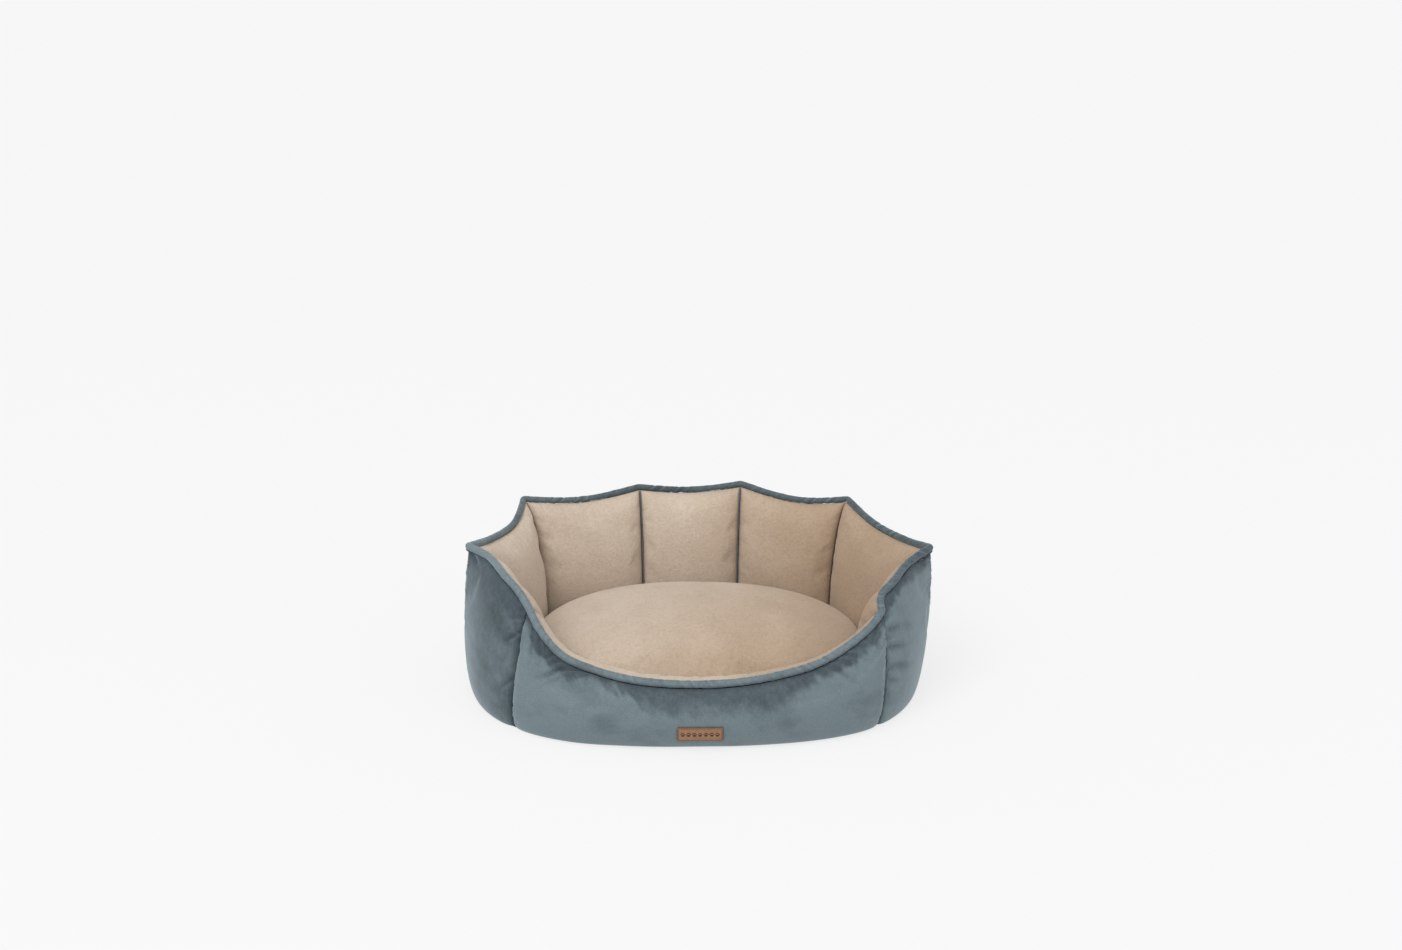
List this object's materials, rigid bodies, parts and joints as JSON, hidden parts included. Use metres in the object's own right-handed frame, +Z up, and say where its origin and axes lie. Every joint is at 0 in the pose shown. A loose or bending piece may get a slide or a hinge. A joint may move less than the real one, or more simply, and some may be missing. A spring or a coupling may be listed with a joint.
{
  "type": "pet cushion bed",
  "caption": "Oval pet bed with a padded wall of stuffed chambers, a low front, a piped rim and a loose crowned cushion with a zipped cover.",
  "frame": {"origin": "on the floor under the middle of the bed's box", "axes": "+X to the right along the bed's long side, +Y from the low front to the high back, +Z up"},
  "size_m": [0.6454, 0.4932, 0.2112],
  "materials": {
    "velvet": "short-pile velvet, slate blue grey",
    "plush": "short-pile plush, warm beige",
    "fibre": "loose polyester fibre filling",
    "interlining": "non-woven sheet",
    "non_slip": "dark non-slip base cloth",
    "cotton": "twisted cotton filler cord",
    "zip_tape": "woven zip tape",
    "nylon": "nylon coil",
    "zinc": "dull antique finish",
    "leather": "smooth leather patch, tan",
    "thread": "sewing thread, dark brown"
  },
  "bodies": {
    "bed": {"cover_front": "velvet", "lining_front": "plush", "filling_front": "fibre", "cover_side_right": "velvet", "lining_side_right": "plush", "filling_side_right": "fibre", "cover_right": "velvet", "lining_right": "plush", "filling_right": "fibre", "cover_back_right": "velvet", "lining_back_right": "plush", "filling_back_right": "fibre", "cover_back": "velvet", "lining_back": "plush", "filling_back": "fibre", "cover_back_left": "velvet", "lining_back_left": "plush", "filling_back_left": "fibre", "cover_left": "velvet", "lining_left": "plush", "filling_left": "fibre", "cover_side_left": "velvet", "lining_side_left": "plush", "filling_side_left": "fibre", "divider_front_left": "interlining", "divider_front_right": "interlining", "divider_right": "interlining", "divider_back_right": "interlining", "divider_back": "interlining", "divider_back_left": "interlining", "divider_left": "interlining", "divider_side_left": "interlining", "rim_piping": "velvet", "piping_cord": "cotton", "base_cloth": "non_slip", "base_wadding": "fibre", "floor_lining": "plush", "label_patch": "leather", "label_thread": "thread"},
    "cushion": {"cushion_top": "plush", "cushion_underside_front": "plush", "cushion_underside_rear": "plush", "cushion_filling": "fibre", "zip_tape_front": "zip_tape", "zip_tape_rear": "zip_tape", "zip_coil_front": "nylon", "zip_coil_rear": "nylon", "zip_stop_left": "zinc", "zip_stop_right": "zinc"},
    "slider": {"zip_slider": "zinc"},
    "pull": {"zip_pull": "zinc"}
  },
  "joints": [
    {"name": "cushion_lift", "type": "slide", "parent": "bed", "child": "cushion", "axis": [0, 0, 1], "range_m": [0, 0.24]},
    {"name": "zip_slide", "type": "slide", "parent": "cushion", "child": "slider", "axis": [1, 0, 0], "range_m": [0, 0.252]},
    {"name": "pull_swing", "type": "hinge", "parent": "slider", "child": "pull", "pos_m": [-0.12801, 0.00412, 0.01525], "axis": [0, 1, 0], "range_deg": [0, 14]}
  ]
}
